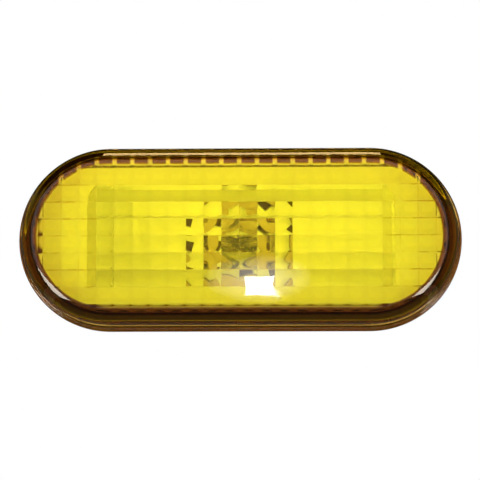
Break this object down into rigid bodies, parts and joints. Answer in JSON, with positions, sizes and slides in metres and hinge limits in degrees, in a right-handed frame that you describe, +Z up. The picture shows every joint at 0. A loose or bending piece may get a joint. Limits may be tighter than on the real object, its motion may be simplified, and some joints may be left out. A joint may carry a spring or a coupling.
{
  "type": "vehicle side indicator lamp",
  "caption": "Stadium-shaped amber side indicator lamp with pillow optics in its lens, a clip-in housing, gasket and twist-lock bulb holder.",
  "frame": {"origin": "middle of the gasket's face on the panel, on the bulb's axis", "axes": "+X along the lamp, towards the retaining spring; +Y into the panel, so the lens looks to -Y; +Z up"},
  "size_m": [0.096, 0.0439, 0.04],
  "materials": {
    "amber_lens": "gloss",
    "white_plastic": "satin",
    "black_rubber": "matte",
    "spring_steel": "satin",
    "grey_plastic": "satin",
    "contact_brass": "satin",
    "clear_glass": "gloss",
    "lead_metal": "satin",
    "tungsten": "satin"
  },
  "bodies": {
    "lamp": {"lens": "amber_lens", "housing": "white_plastic", "gasket": "black_rubber", "retaining_spring": "spring_steel"},
    "bulb_socket": {"bulb_holder": "grey_plastic", "holder_seal": "black_rubber", "contact_high": "contact_brass", "contact_low": "contact_brass", "bulb_glass": "clear_glass", "bulb_lead_high": "lead_metal", "bulb_lead_low": "lead_metal", "bulb_filament": "tungsten"}
  },
  "joints": [
    {"name": "holder_twist", "type": "hinge", "parent": "lamp", "child": "bulb_socket", "pos_m": [0, 0.012, 0], "axis": [0, 1, 0], "range_deg": [0, 45]}
  ]
}
